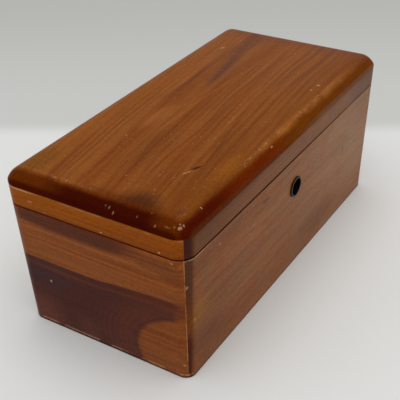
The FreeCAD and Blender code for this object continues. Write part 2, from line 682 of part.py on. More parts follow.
# Strike: a plate under the lid's front rail, and the hook that is riveted through it
hook_middle = f"(({cavity_back} + Sizes.lock_sheet) / 2)"
hook_front = f"({hook_middle} - Sizes.hook_thickness / 2)"
foot_top = f"{finger_low} - Sizes.bolt_clearance"
foot_low = f"{foot_top} - Sizes.hook_foot_height"
rivet_top = "Sizes.seam_gap + Sizes.strike_thickness"
strike_hook = place_in_lock(padded("strike_hook", "XZ_Plane", [
    (f"-{hook_x}", foot_low),
    (foot_x, foot_low),
    (foot_x, foot_top),
    (hook_x, foot_top),
    (hook_x, rivet_top),
    (f"-{hook_x}", rivet_top)], "Sizes.hook_thickness", offset=hook_front))
rivet_block = box(
    "rivet_hole_block", both(f"{hook_x} + Sizes.screw_clearance"),
    (f"-({hook_front} + Sizes.hook_thickness + Sizes.screw_clearance)",
     f"Sizes.screw_clearance - {hook_front}"),
    ("0", f"{rivet_top} + {OVERSHOOT}"))
rivet_hole = place_in_lock(group("rivet_hole", [rivet_block]))
strike_x = "Sizes.strike_length / 2"
strike_blank = padded(
    "strike_blank", "XY_Plane", rectangle(both(strike_x), both("Sizes.strike_width / 2")),
    "Sizes.strike_thickness")
fillet(strike_blank, "Sizes.strike_corner", is_along(Z_AXIS))
place(strike_blank, y=STRIKE_Y, z=LID_LOW)
strike_spots = [
    ("-Sizes.strike_screw_pitch / 2", STRIKE_Y, LID_LOW), ("Sizes.strike_screw_pitch / 2", STRIKE_Y, LID_LOW)]
strike_screw_items, strike_holes = screws_and_holes("strike_screw", "up", strike_spots)
strike_plate = cut("strike_plate", strike_blank, rivet_hole, *strike_holes)
strike_screws = group("strike_screws", strike_screw_items)
strike_gain = place(box(
    "strike_gain", both(f"{strike_x} + Sizes.gain_clearance"),
    both("Sizes.strike_width / 2 + Sizes.gain_clearance"),
    (f"-{OVERSHOOT}", "Sizes.strike_thickness")),
    f"-({strike_x} + Sizes.gain_clearance)",
    f"{STRIKE_Y} - Sizes.strike_width / 2 - Sizes.gain_clearance", f"{LID_LOW} - {OVERSHOOT}")

# Walls and lid rails: the mitred boards, less what is let into them
mortise = place_in_lock(union(
    "lock_mortise",
    box("case_mortise", both(f"{case_x} + Sizes.gain_clearance"),
        ("-(Sizes.lock_depth + Sizes.gain_clearance)", OVERSHOOT),
        ("-(Sizes.lock_height + Sizes.gain_clearance)", OVERSHOOT)),
    box("cover_recess", both(f"{cover_x} + Sizes.gain_clearance"), ("-Sizes.lock_sheet", OVERSHOOT),
        ("-(Sizes.lock_height + Sizes.gain_clearance)", OVERSHOOT)),
    cylinder("ferrule_bore", "Sizes.ferrule_radius + Sizes.gain_clearance",
             f"-({outer_face} + {OVERSHOOT})", "0", "Y", z="-Sizes.keyhole_drop"),
    *cover_holes))
walls = [
    cut("front_panel", mitred_board("front_wall", wall_frame, "front"), groove, mortise),
    cut("back_panel", mitred_board("back_wall", wall_frame, "back"), groove, body_stop, *gains["body"]),
    cut("left_end_panel", mitred_board("left_wall", wall_frame, "left"), groove),
    cut("right_end_panel", mitred_board("right_wall", wall_frame, "right"), groove),
]
rails = [
    cut("lid_front_rail", mitred_board("front_rail", rail_frame, "front"), strike_gain, *strike_holes),
    cut("lid_back_rail", mitred_board("back_rail", rail_frame, "back"), lid_stop, *gains["lid"]),
    mitred_board("lid_left_rail", rail_frame, "left"),
    mitred_board("lid_right_rail", rail_frame, "right"),
]

# Check the whole document, then write each piece under its label
PIECES = [
    *walls, bottom_panel, lid_top, *rails, *hinge_parts, hinge_body_screws, hinge_lid_screws,
    lock_case, lock_cover_plate, lock_cover_screws, ferrule, lock_bolt, lock_bolt_spring,
    strike_plate, strike_hook, strike_screws]
doc.recompute()
for item in doc.Objects:
    if "Invalid" in item.State or "Error" in item.State:
        raise RuntimeError(f"{item.Label} did not build: {item.State}")
for piece in PIECES:
    if piece.Shape.isNull() or not piece.Shape.isValid():
        raise RuntimeError(f"{piece.Label} has no valid shape")
for piece in PIECES:
    piece.Shape.exportStep(f"parts/{piece.Label}.step")
    print(piece.Label, len(piece.Shape.Solids), "solids", round(piece.Shape.Volume, 2), "mm3")
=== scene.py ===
"""Looks of a lacquered red cedar keepsake box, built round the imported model.

Everything is in metres in the model's frame: the front looks along -Y and the box stands on z = 0.
The wood's figure is laid out in millimetres on each board's own face.
"""

import json
import math
from types import SimpleNamespace

import bmesh
import bpy
from mathutils import Matrix, Vector, kdtree


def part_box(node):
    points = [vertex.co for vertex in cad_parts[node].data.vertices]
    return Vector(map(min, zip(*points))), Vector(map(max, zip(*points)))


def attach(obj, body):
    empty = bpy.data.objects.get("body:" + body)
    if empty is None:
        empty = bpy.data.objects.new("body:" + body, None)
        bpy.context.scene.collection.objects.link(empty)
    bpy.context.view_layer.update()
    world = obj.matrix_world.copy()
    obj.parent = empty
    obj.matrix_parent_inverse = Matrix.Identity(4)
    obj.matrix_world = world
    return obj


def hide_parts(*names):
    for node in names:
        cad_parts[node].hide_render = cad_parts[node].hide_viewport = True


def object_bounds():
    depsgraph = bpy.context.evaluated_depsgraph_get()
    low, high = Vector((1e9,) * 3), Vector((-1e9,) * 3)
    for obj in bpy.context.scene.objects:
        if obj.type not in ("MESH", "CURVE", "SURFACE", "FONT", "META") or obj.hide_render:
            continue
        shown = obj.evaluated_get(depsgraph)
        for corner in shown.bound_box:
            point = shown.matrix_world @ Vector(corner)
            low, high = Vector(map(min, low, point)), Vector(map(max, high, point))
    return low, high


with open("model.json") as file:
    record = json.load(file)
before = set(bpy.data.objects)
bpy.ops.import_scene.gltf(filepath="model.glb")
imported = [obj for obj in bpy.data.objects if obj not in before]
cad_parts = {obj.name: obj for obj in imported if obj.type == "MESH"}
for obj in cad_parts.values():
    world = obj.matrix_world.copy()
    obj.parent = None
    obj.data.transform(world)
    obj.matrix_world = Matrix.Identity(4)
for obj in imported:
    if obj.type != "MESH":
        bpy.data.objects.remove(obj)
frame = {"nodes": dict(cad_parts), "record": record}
cad_low, cad_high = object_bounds()

# Walls
# Four boards of red cedar, mitred and glued, with the corners rounded over once the glue is dry. The outside and
# the rims are sanded and sprayed with lacquer; the inside stays bare, so that the box smells of cedar.
MM = 0.001


def linear(code):
    """An sRGB hex colour as linear light, for a colour socket."""
    parts = [int(code[i:i + 2], 16) / 255 for i in (1, 3, 5)]
    return [*(c / 12.92 if c <= 0.04045 else ((c + 0.055) / 1.055) ** 2.4 for c in parts), 1.0]


def add(tree, kind, inputs=None, **settings):
    """Adds a node with its settings. An input is a plain value, or a node or socket to link from."""
    node = tree.nodes.new("ShaderNode" + kind)
    for key, value in settings.items():
        setattr(node, key, value)
    for key, value in (inputs or {}).items():
        named = [s for s in node.inputs if s.name == key and not s.is_unavailable]
        socket = node.inputs[key] if isinstance(key, int) else named[0]
        if isinstance(value, bpy.types.Node):
            value = next(s for s in value.outputs if not s.is_unavailable)
        if isinstance(value, bpy.types.NodeSocket):
            tree.links.new(value, socket)
        else:
            socket.default_value = value
    return node


def started(name):
    """An empty material, with its node tree, and where a point of the piece lies in mm."""
    material = bpy.data.materials.new(name)
    material.use_nodes = True
    tree = material.node_tree
    tree.nodes.clear()
    source = add(tree, "TexCoord")
    place = add(tree, "VectorMath", {0: source.outputs["Object"], "Scale": 1 / MM}, operation="SCALE")
    return SimpleNamespace(material=material, tree=tree, place=place, normal=source.outputs["Normal"])


# The figure's layers: how long each runs along the grain and how wide across it, in mm, and its levels of detail
LAYERS = {
    "bands": (260, 11, 1.0), "streaks": (90, 4, 2.0), "fibres": (40, 0.6, 1.0), "patches": (12, 12, 2.0),
    "flecks": (1.4, 1.1, 1.0)}
# How long the swings of the grain are, and how far the bands push the rings aside, in mm
SWAY_LENGTH = 70
RING_SPREAD = 14.0


def cedar(name, along, across, drift, seed, flow=(), ring_step=4.0):
    """Starts the material of one board: its face in mm, along and across the grain, and the layers of its figure.

    Broad bands of colour lie over the growth rings, a few mm apart and here and there wider, and both follow the
    line of flow, if one is drawn. Some rings show and others don't, in long streaks. The fibres are drawn about
    five times as wide as they are, because the real ones are too fine to show.
    """
    board = started(name)
    tree = board.tree
    plain = add(tree, "SeparateXYZ", {0: board.place})
    board.plain = [plain.outputs[axis] for axis in "XYZ"]

    sway = [2 * drift] * 3
    sway[along] = 0.0
    wander = add(tree, "TexNoise", {
        "Vector": board.place, "Scale": 1 / SWAY_LENGTH, "Detail": 1.0, "W": seed}, noise_dimensions="4D")
    swing = add(tree, "VectorMath", {0: wander.outputs["Color"], 1: (0.5,) * 3}, operation="SUBTRACT")
    grown = add(tree, "VectorMath", {0: swing, 1: sway, 2: board.place}, operation="MULTIPLY_ADD")
    figure = add(tree, "SeparateXYZ", {0: grown})
    board.u = figure.outputs["XYZ"[along]]
    board.v = figure.outputs["XYZ"[across]]

    lanes = {axis: figure.outputs[axis] for axis in "XYZ"}
    if flow:
        lanes["XYZ"[across]] = over(board, *flow)
    laid = add(tree, "CombineXYZ", lanes)
    for layer, (long, wide, detail) in LAYERS.items():
        stretch = [1 / wide] * 3
        stretch[along] = 1 / long
        spot = add(tree, "VectorMath", {0: laid, 1: stretch}, operation="MULTIPLY")
        texture = add(
            tree, "TexNoise", {"Vector": spot, "Scale": 1.0, "Detail": detail, "W": seed}, noise_dimensions="4D")
        setattr(board, layer, texture.outputs[0])

    spread = add(
        tree, "Math", {0: board.bands, 1: RING_SPREAD, 2: lanes["XYZ"[across]]}, operation="MULTIPLY_ADD")
    turns = add(tree, "Math", {0: spread, 1: 2 * math.pi / ring_step}, operation="MULTIPLY")
    board.rings = add(tree, "Math", {0: turns}, operation="SINE").outputs[0]
    return board


def stain(board, base, tint, *edges, strength=1.0):
    """Lays a tint over a board's colour where every edge holds: a value that goes softly from a start to an end."""
    mask = strength
    for value, start, end in edges:
        edge = add(
            board.tree, "MapRange", {"Value": value, "From Min": start, "From Max": end},
            interpolation_type="SMOOTHSTEP")
        mask = add(board.tree, "Math", {0: edge, 1: mask}, operation="MULTIPLY")
    return add(
        board.tree, "Mix", {"Factor": mask, "A": base, "B": linear(tint)}, data_type="RGBA").outputs[2]


def stained(board, base, *layers):
    """Lays tints over a board's colour one after another, each with its strength and then its edges.

    An edge is a place on the board's face in mm, or a share of a patch or of one layer of the figure.
    """
    for tint, strength, *edges in layers:
        base = stain(board, base, tint, *edges, strength=strength)
    return base


# Half the span, in mm, that lines drawn on a board's face may cover
FACE = 120.0


def over(board, *points):
    """How far a point lies above a line drawn along a board's grain through a few points, in mm."""
    along = add(board.tree, "MapRange", {"Value": board.u, "From Min": -FACE, "From Max": FACE})
    line = add(board.tree, "FloatCurve", {"Value": along})
    curve = line.mapping.curves[0]
    for drawn, (u, v) in zip(curve.points, (points[0], points[-1])):
        drawn.location = ((u + FACE) / (2 * FACE), (v + FACE) / (2 * FACE))
    for u, v in points[1:-1]:
        curve.points.new((u + FACE) / (2 * FACE), (v + FACE) / (2 * FACE))
    line.mapping.update()
    height = add(board.tree, "MapRange", {"Value": line, "To Min": -FACE, "To Max": FACE})
    return add(board.tree, "Math", {0: board.v, 1: height}, operation="SUBTRACT").outputs[0]


def off(board, centre, radii):
    """How far a point lies from the middle of a rounded patch on a board's face, as a share of the patch's radii."""
    flat = add(board.tree, "CombineXYZ", {"X": board.u, "Y": board.v})
    shares = add(board.tree, "VectorMath", {
        0: flat, 1: (1 / radii[0], 1 / radii[1], 0.0), 2: (-centre[0] / radii[0], -centre[1] / radii[1], 0.0)},
        operation="MULTIPLY_ADD")
    return add(board.tree, "VectorMath", {0: shares}, operation="LENGTH").outputs["Value"]


def round_corner(board):
    """How far a point lies from the near corner's mitre, in mm: above 0 on the front and below 0 on the left end."""
    x, y, _ = board.plain
    apart = add(board.tree, "Math", {0: x, 1: y}, operation="SUBTRACT")
    return add(board.tree, "Math", {0: apart, 1: (cad_high.x - cad_high.y) / MM}, operation="ADD").outputs[0]


def grain(board, pale, middle, deep, late=0.5):
    """A board's ground colour: bands from a pale to a middle tone, and late wood as deep, soft lines."""
    return stained(
        board, linear(pale), (middle, 1.0, (board.bands, 0.30, 0.70)),
        (deep, late, (board.rings, -0.8, 1.0), (board.streaks, 0.34, 0.66)))


BARE_WOOD = ("#bd8a62", "#ab7350", "#8a4c36")
BARE_ROUGH = 0.78
RAW_WOOD = "#cb9b74"
LACQUER_ROUGH = (0.29, 0.38)
SPRAY_EDGE = 0.06
PORE_DEPTH = 0.15 * MM


def sprayed(board, colour, out, gloss=0.06, fine=0.2, bare_below=-0.3, worn=()):
    """Finishes a board: bare wood on the face that looks inwards, lacquer elsewhere, and raw wood where it is worn.

    Old lacquer gone thin and dull over soft wood: a low, broad sheen that shows most at a grazing angle. The fibres
    and small flecks lie through every colour, lighter and darker by the fine share.
    """
    tree = board.tree
    facing = add(tree, "VectorMath", {0: board.normal, 1: out}, operation="DOT_PRODUCT").outputs["Value"]
    lacquer = add(tree, "MapRange", {
        "Value": facing, "From Min": bare_below - SPRAY_EDGE, "From Max": bare_below + SPRAY_EDGE})
    bare = grain(board, *BARE_WOOD)
    base = add(tree, "Mix", {"Factor": lacquer, "A": bare, "B": colour}, data_type="RGBA").outputs[2]
    speckle = add(tree, "Math", {0: board.fibres, 1: board.flecks}, operation="ADD")
    shade = add(tree, "MapRange", {
        "Value": speckle, "From Min": 0.7, "From Max": 1.3, "To Min": 1 + fine, "To Max": 1 - fine})
    base = add(tree, "VectorMath", {0: base, "Scale": shade}, operation="SCALE").outputs["Vector"]
    for strength, *edges in worn:
        base = stain(board, base, RAW_WOOD, *edges, (board.flecks, 0.32, 0.48), strength=strength)
    smudge = add(tree, "MapRange", {
        "Value": board.patches, "From Min": 0.35, "From Max": 0.65, "To Min": LACQUER_ROUGH[0],
        "To Max": LACQUER_ROUGH[1]})
    rough = add(tree, "Mix", {"Factor": lacquer, "A": BARE_ROUGH, "B": smudge})
    relief = add(tree, "Math", {0: board.fibres, 1: 0.4, 2: board.streaks}, operation="MULTIPLY_ADD")
    bump = add(tree, "Bump", {"Strength": 0.10, "Distance": PORE_DEPTH, "Height": relief})
    shader = add(tree, "BsdfPrincipled", {
        "Base Color": base, "Roughness": rough, "Normal": bump, "Specular IOR Level": gloss})
    add(tree, "OutputMaterial", {"Surface": shader})
    return board.material


def dress(material, *nodes):
    """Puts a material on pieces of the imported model."""
    for node in nodes:
        materials = frame["nodes"][node].data.materials
        materials.clear()
        materials.append(material)


# Painted shade darkens the outer edges of the seam, where the gap between lid and box lies in shade, and painted
# contact shadow darkens the edges that the box stands on. The arris just above the floor is rubbed. Each pair is
# where the shade or the rubbing starts and where it is full, in mm.
PAINTED_SHADE = "#2c0c05"
RED_PAINTED_SHADE = "#6a2409"
FOOT_SHADOW = (1.7, 0.6)
FOOT_LOW = (1.3, 1.9)
FOOT_HIGH = (3.0, 2.3)
SEAM_CORNER = 9.0
SEAM_INWARDS = (SEAM_CORNER - 1.7, SEAM_CORNER - 1.2)
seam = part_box("front_panel")[1].z / MM
rim_gap_shade = (seam - 0.30, seam - 0.12)
seam_reach = (
    -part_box("left_end_panel")[0].x / MM - SEAM_CORNER, -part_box("front_panel")[0].y / MM - SEAM_CORNER, seam + FACE)


def seam_shaded(board, colour, start, end, *stretch, tint=PAINTED_SHADE):
    """Paints the shade of the seam's gap on a board's outer edge, between two heights and no more than a mm or two
    inwards.
    """
    quarter = add(board.tree, "VectorMath", {0: board.place}, operation="ABSOLUTE")
    beyond = add(board.tree, "VectorMath", {0: quarter, 1: seam_reach}, operation="SUBTRACT")
    reach = add(board.tree, "VectorMath", {0: beyond, 1: (0.0, 0.0, 0.0)}, operation="MAXIMUM")
    outwards = add(board.tree, "VectorMath", {0: reach}, operation="LENGTH").outputs["Value"]
    return stain(board, colour, tint, (board.plain[2], start, end), (outwards, *SEAM_INWARDS), *stretch)


# The front is even red-brown heartwood, redder lower down, with a painted sheen that makes it paler and greyer to the
# right. The rounded corner cuts across its grain and shows as a dark strip that narrows downwards, amber in its
# middle.
STRIP_NARROWS = 0.055
front = cedar("lacquered_cedar_front", along=0, across=2, drift=4.0, seed=3.1, ring_step=6.0)
x, _, z = front.plain
corner = round_corner(front)
strip = add(front.tree, "Math", {0: z, 1: -STRIP_NARROWS, 2: corner}, operation="MULTIPLY_ADD").outputs[0]
colour = stained(
    front, grain(front, "#905b33", "#844f2b", "#683a1e"),
    # redder and greener clouds, and the broad change along and down the board; its paler, greyer right is painted
    # sheen
    ("#904e30", 0.30, (front.patches, 0.50, 0.66)),
    ("#79532e", 0.30, (front.patches, 0.50, 0.34)),
    ("#9d7656", 0.50, (x, -40.0, 90.0)),
    ("#82481c", 0.50, (z, 40.0, 6.0)),
    ("#743f18", 0.50, (x, -40.0, -100.0)),
    ("#74462a", 0.35, (z, 66.0, seam), (x, -20.0, -80.0)),
    ("#6f5140", 0.30, (z, 48.0, 72.0), (x, 56.0, 96.0)),
    # two dark patches low down and an amber one by the corner
    ("#6b4026", 0.55, (off(front, (35, 17), (46, 13)), 1.0, 0.2)),
    ("#62331f", 0.50, (off(front, (-98, 22), (32, 13)), 1.0, 0.2)),
    ("#8c5a18", 0.50, (off(front, (-103, 41), (13, 12)), 1.0, 0.2)),
    # the strip of the rounded corner: its upper part, its amber middle and its foot
    ("#4d2a1a", 0.85, (strip, 3.6, 0.8), (z, 28.0, 48.0)),
    ("#6a3206", 0.70, (strip, 3.6, 0.8), (z, 26.0, 34.0), (z, 56.0, 44.0)),
    ("#43160e", 0.90, (strip, 4.2, 0.8), (z, 36.0, 24.0)),
    # small dark marks
    ("#5a2f1c", 0.60, (off(front, (-36, 69.5), (5.0, 1.6)), 1.2, 0.4)),
    ("#5a2f1c", 0.40, (off(front, (-50, 57.5), (6.0, 1.2)), 1.2, 0.4)),
    ("#5f3823", 0.50, (off(front, (68, 48.5), (1.6, 4.0)), 1.2, 0.4)))
# painted shade in the gap of the seam
colour = seam_shaded(front, colour, seam - 0.36, seam - 0.14, (x, 110.0, -20.0))
# painted contact shadow along the floor
colour = stain(front, colour, PAINTED_SHADE, (z, 1.4, 0.4), strength=0.8)
front_worn = [
    (0.55, (z, seam - 1.0, seam - 0.7), (z, seam - 0.1, seam - 0.4), (corner, 30.0, 12.0)),
    (0.55, (z, 1.2, 1.7), (z, 3.0, 2.2), (corner, 4.0, 2.0)),
    (0.6, (off(front, (-84, 69.5), (0.9, 0.7)), 1.1, 0.5)),
    (0.6, (off(front, (-106.5, 38.5), (0.6, 0.9)), 1.1, 0.5)),
    (0.5, (off(front, (-110.8, 59.5), (0.7, 1.2)), 1.1, 0.4))]
dress(sprayed(front, colour, (0, -1, 0), gloss=0.055, fine=0.26, worn=front_worn), "front_panel")

# The left end is cut near the middle of the log: dark heartwood below and under the seam, orange wood between,
# and a rounded tongue of sapwood at the lower front corner, with the growth rings round it. Its arris is rubbed pale
# along the mitre and along the floor.
TONGUE_REACH = 38.5
TONGUE_STEP = 3.5
left = cedar("lacquered_cedar_left_end", along=1, across=2, drift=1.4, seed=7.4)
_, y, z = left.plain
wedge = over(left, (-60, 75), (-38, 72.5), (-25, 69.5), (-10, 68.0), (10, 67.8), (40, 69.0), (60, 72.5))
heart = over(left, (-60, 50.4), (-45, 49.9), (-10, 47.7), (0, 46.5), (48, 46.0), (60, 46.0))
tongue = off(left, (-60, 13), (TONGUE_REACH, 27.0))
turns = add(left.tree, "Math", {0: tongue, 1: 2 * math.pi * TONGUE_REACH / TONGUE_STEP}, operation="MULTIPLY")
ripple = add(left.tree, "Math", {0: turns}, operation="SINE").outputs[0]
below_heart = (heart, 0.7, -1.1)
round_tongue = (tongue, 0.94, 1.05)
short_of_mitre = (y, -51.0, -45.0)
colour = stained(
    left, grain(left, "#915021", "#85441a", "#632b0e"),
    # the orange wood, duller in its lower half, and the dark wedge under the seam with its softer ends
    ("#70391a", 0.30, (z, 60.0, 55.0)),
    ("#532715", 0.92, (wedge, -2.8, 1.8), (y, -36.0, -10.0), (y, 58.0, 42.0)),
    ("#5f2c10", 0.55, (off(left, (-48, 64), (13, 3.5)), 1.0, 0.3)),
    ("#5a3018", 0.45, (off(left, (-38, 69), (22, 6)), 1.0, 0.3)),
    ("#5a3018", 0.35, (y, 42.0, 54.0), (z, 44.0, 52.0)),
    # the heartwood below, redder along its upper edge and uneven in tone
    ("#48221a", 1.00, below_heart, round_tongue, short_of_mitre),
    ("#542611", 0.90, below_heart, (heart, -6.0, -4.0), (y, -8.0, -30.0), short_of_mitre),
    ("#622c1a", 0.60, (heart, -3.2, -4.2), (heart, -6.6, -5.2), round_tongue),
    ("#7c3f18", 0.85, (off(left, (-55, 41.5), (10.5, 5.2)), 1.1, 0.5)),
    ("#3b2126", 0.60, (off(left, (40, 34), (24, 11)), 1.0, 0.2)),
    ("#5f2f22", 0.90, (off(left, (43, 6), (17, 17)), 1.2, 0.3)),
    ("#5a2f26", 0.60, (off(left, (12, 7), (8, 10)), 1.2, 0.3)),
    # the rings round the tongue of sapwood
    ("#5e2e20", 0.55, (tongue, 1.02, 1.07), (tongue, 1.75, 1.15)),
    ("#663224", 0.26, (ripple, 0.0, 1.0), (tongue, 1.06, 1.14), (tongue, 2.1, 1.3), (z, 38.0, 26.0)),
    # a painted reflection of the pale floor in the lacquer, greyer towards the floor
    ("#7a5a4c", 0.10, (z, 24.0, 2.0)))
# painted shade in the gap of the seam
colour = seam_shaded(left, colour, *rim_gap_shade, tint=RED_PAINTED_SHADE)
# painted contact shadow along the floor
colour = stain(left, colour, PAINTED_SHADE, (z, *FOOT_SHADOW), strength=0.85)
left_worn = [
    (0.45, (z, *FOOT_LOW), (z, *FOOT_HIGH), (left.patches, 0.46, 0.54)),
    (0.40, (round_corner(left), -0.9, -0.3), (z, 3.0, 12.0), (left.streaks, 0.30, 0.55)),
    (0.7, (off(left, (33.5, 32.3), (0.8, 1.0)), 1.1, 0.5)),
    (0.5, (off(left, (-47.5, 74.8), (0.9, 0.6)), 1.1, 0.5)),
    (0.5, (off(left, (-49.5, 9.5), (0.9, 0.8)), 1.1, 0.5))]
dress(sprayed(left, colour, (-1, 0, 0), gloss=0.05, worn=left_worn), "left_end_panel")

# The back and the right end come from other lengths of the same plank, with dark heartwood along one edge: below
# the drawn line on the back and above it on the right end.
PLANK = ("#8d4f22", "#82451c", "#5f2c16")
for name, along, drift, seed, line, heart_side, out in (
        ("back", 0, 5.0, 11.7, ((-120, 20), (-20, 26), (60, 22), (120, 30)), (1.0, -1.0), (0, 1, 0)),
        ("right_end", 1, 2.5, 15.2, ((-60, 58), (0, 61), (60, 63)), (-1.0, 1.0), (1, 0, 0))):
    board = cedar("lacquered_cedar_" + name, along=along, across=2, drift=drift, seed=seed)
    z = board.plain[2]
    colour = grain(board, *PLANK, late=0.55)
    colour = stain(board, colour, "#4c221a", (over(board, *line), *heart_side), strength=0.85)
    # painted shade in the gap of the seam
    colour = seam_shaded(board, colour, *rim_gap_shade)
    # painted contact shadow along the floor
    colour = stain(board, colour, PAINTED_SHADE, (z, *FOOT_SHADOW), strength=0.85)
    board_worn = [(0.5, (z, *FOOT_LOW), (z, *FOOT_HIGH), (board.patches, 0.48, 0.56))]
    dress(sprayed(board, colour, out, worn=board_worn), name + "_panel")

# Bottom
# A thin cedar board that lies loose in a groove round the walls, so that it can swell and shrink. It is planed and
# left bare on both sides: pale, dull and pinkish brown.
bottom = cedar("bare_cedar_bottom", along=0, across=1, drift=5.0, seed=21.3)
dress(sprayed(bottom, linear(BARE_WOOD[0]), (0, 0, 0), bare_below=1.0), "bottom_panel")

# Lock
# A stamped steel case let into the back of the front panel under a screwed cover plate, with a bolt that slides
# along the panel against a flat blued spring. A turned brass ferrule, dark with age, lines the keyhole.
ROLLED_LINE = 0.4
ROLLED_RUN = 12
TARNISH_PATCH = 5
ROLLED_DEPTH = 0.05 * MM


def sheet_metal(name, bright, dull, rough, rolled):
    """Rolled or turned metal: fine lines from the rollers, and broad dull patches where it has tarnished.

    The lines are drawn 0.4 mm apart, several times coarser than real ones, so that they show.
    """
    piece = started(name)
    tree = piece.tree
    stretch = [1 / ROLLED_LINE] * 3
    stretch[rolled] = 1 / ROLLED_RUN
    spot = add(tree, "VectorMath", {0: piece.place, 1: stretch}, operation="MULTIPLY")
    lines = add(tree, "TexNoise", {"Vector": spot, "Scale": 1.0, "Detail": 1.0})
    tarnish = add(tree, "TexNoise", {"Vector": piece.place, "Scale": 1 / TARNISH_PATCH, "Detail": 4.0})
    piece.colour = stained(
        piece, linear(bright), (dull, 0.5, (tarnish, 0.38, 0.66)), (dull, 0.3, (lines, 0.45, 0.75)))
    piece.rough = add(tree, "MapRange", {
        "Value": tarnish, "From Min": 0.3, "From Max": 0.7, "To Min": rough, "To Max": rough + 0.2})
    piece.bump = add(tree, "Bump", {"Strength": 0.08, "Distance": ROLLED_DEPTH, "Height": lines})
    return piece


def polished(piece):
    """Closes a metal's material, fully metallic."""
    shader = add(piece.tree, "BsdfPrincipled", {
        "Base Color": piece.colour, "Metallic": 1.0, "Roughness": piece.rough, "Normal": piece.bump})
    add(piece.tree, "OutputMaterial", {"Surface": shader})
    return piece.material


keyhole = next(mount for mount in frame["record"]["mounts"] if mount["name"] == "keyhole")
bore = keyhole["dims"]["r_mm"]


def round_keyhole(piece, tint, outside, inside, strength):
    """Tints what looks out of the keyhole, from a distance outside its bore to one nearer in, in mm."""
    from_middle = add(
        piece.tree, "VectorMath", {0: piece.place, 1: Vector(keyhole["pos_m"]) / MM}, operation="SUBTRACT")
    from_axis = add(piece.tree, "VectorMath", {0: from_middle, 1: keyhole["axis"]}, operation="CROSS_PRODUCT")
    radius = add(piece.tree, "VectorMath", {0: from_axis}, operation="LENGTH").outputs["Value"]
    facing = add(piece.tree, "VectorMath", {0: piece.normal, 1: keyhole["axis"]}, operation="DOT_PRODUCT")
    piece.colour = stain(
        piece, piece.colour, tint, (radius, bore + outside, bore + inside), (facing.outputs["Value"], 0.3, 0.8),
        strength=strength)


# Stamped steel is a soft grey, with painted shade deep behind the keyhole. The blued spring is darker and shinier.
# The turned brass has gone nearly black, and its rim is lighter than its sides: rubbed, with a painted highlight.
stamped = sheet_metal("stamped_lock_steel", "#a6a49f", "#5f5952", 0.36, rolled=0)
# painted shade deep inside the keyhole
round_keyhole(stamped, "#14110f", 2.5, 1.0, strength=1.0)
lock_steel = polished(stamped)
dress(lock_steel, "lock_case", "lock_cover_plate", "lock_bolt")
dress(polished(sheet_metal("blued_spring_steel", "#4d5566", "#2d2f38", 0.28, rolled=0)), "lock_bolt_spring")
ferrule = sheet_metal("darkened_brass_turned", "#33291d", "#17120d", 0.38, rolled=1)
# the lighter rim: rubbed brass with a painted highlight
round_keyhole(ferrule, "#48433c", 0.9, 0.5, strength=0.9)
dress(polished(ferrule), "keyhole_ferrule")

# Screws
# Slotted countersunk wood screws, in brass through the hinges and in steel through the lock and the strike. The
# packed screws have plain heads, so each gets its slot cut here, turned as a hand leaves it.
SLOT_WIDTH = 0.6 * MM
SLOT_DEPTH = 0.45 * MM
HEAD_RADIUS = 1.9 * MM
HEAD_RIM = 0.1 * MM
SLOT_RUN = HEAD_RADIUS - SLOT_DEPTH - HEAD_RIM
GOLDEN_ANGLE = math.pi * (3 - math.sqrt(5))
WELD = 0.001 * MM
FLAT = 0.999
SHARP = math.radians(30)
# Yellow brass that has gone brown in patches and keeps a warm shine between them
brass = polished(sheet_metal("tarnished_brass", "#b8934a", "#6d4f26", 0.32, rolled=0))


def slotted_screws(node, body, material, up):
    """Copies a node of screws and cuts a slot into each head that looks the given way."""
    screws = bmesh.new()
    screws.from_mesh(frame["nodes"][node].data)
    bmesh.ops.remove_doubles(screws, verts=screws.verts, dist=WELD)
    up = Vector(up).normalized()
    tops = [face for face in screws.faces if face.normal.dot(up) > FLAT]
    heads = bmesh.ops.dissolve_faces(screws, faces=tops)["region"]
    for count, head in enumerate(heads):
        middle = head.calc_center_median()
        along = Matrix.Rotation(count * GOLDEN_ANGLE, 3, up) @ up.orthogonal().normalized()
        side = up.cross(along)
        pieces = [head]
        for way in (1, -1):
            around = dict.fromkeys(edge for face in pieces for edge in face.edges)
            corners = dict.fromkeys(corner for face in pieces for corner in face.verts)
            cut = bmesh.ops.bisect_plane(
                screws, geom=[*pieces, *around, *corners], dist=WELD / 10,
                plane_co=middle + side * way * SLOT_WIDTH / 2, plane_no=side)
            pieces = [item for item in cut["geom"] if isinstance(item, bmesh.types.BMFace)]
        floor_face = min(pieces, key=lambda face: (face.calc_center_median() - middle).length)
        sunk = bmesh.ops.extrude_face_region(screws, geom=[floor_face])["geom"]
        for vertex in sunk:
            if isinstance(vertex, bmesh.types.BMVert):
                reach = (vertex.co - middle).dot(along)
                vertex.co -= up * SLOT_DEPTH + along * (reach - max(-SLOT_RUN, min(SLOT_RUN, reach)))
        if floor_face.is_valid:
            bmesh.ops.delete(screws, geom=[floor_face], context="FACES_ONLY")
    bmesh.ops.recalc_face_normals(screws, faces=screws.faces)
    data = bpy.data.meshes.new(node + "_slotted")
    screws.to_mesh(data)
    screws.free()
    data.shade_smooth()
    data.set_sharp_from_angle(angle=SHARP)
    data.materials.append(material)
    piece = bpy.data.objects.new(node + "_slotted", data)
    bpy.context.scene.collection.objects.link(piece)
    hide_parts(node)
    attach(piece, body)


LEAN = math.radians(2.36)
into_box = (0, math.cos(LEAN), math.sin(LEAN))
slotted_screws("lock_cover_screws", "box", lock_steel, into_box)
slotted_screws("hinge_body_screws", "box", brass, (0, 0, 1))
slotted_screws("hinge_lid_screws", "lid", brass, (0, 0, -1))
slotted_screws("strike_screws", "lid", lock_steel, (0, 0, -1))

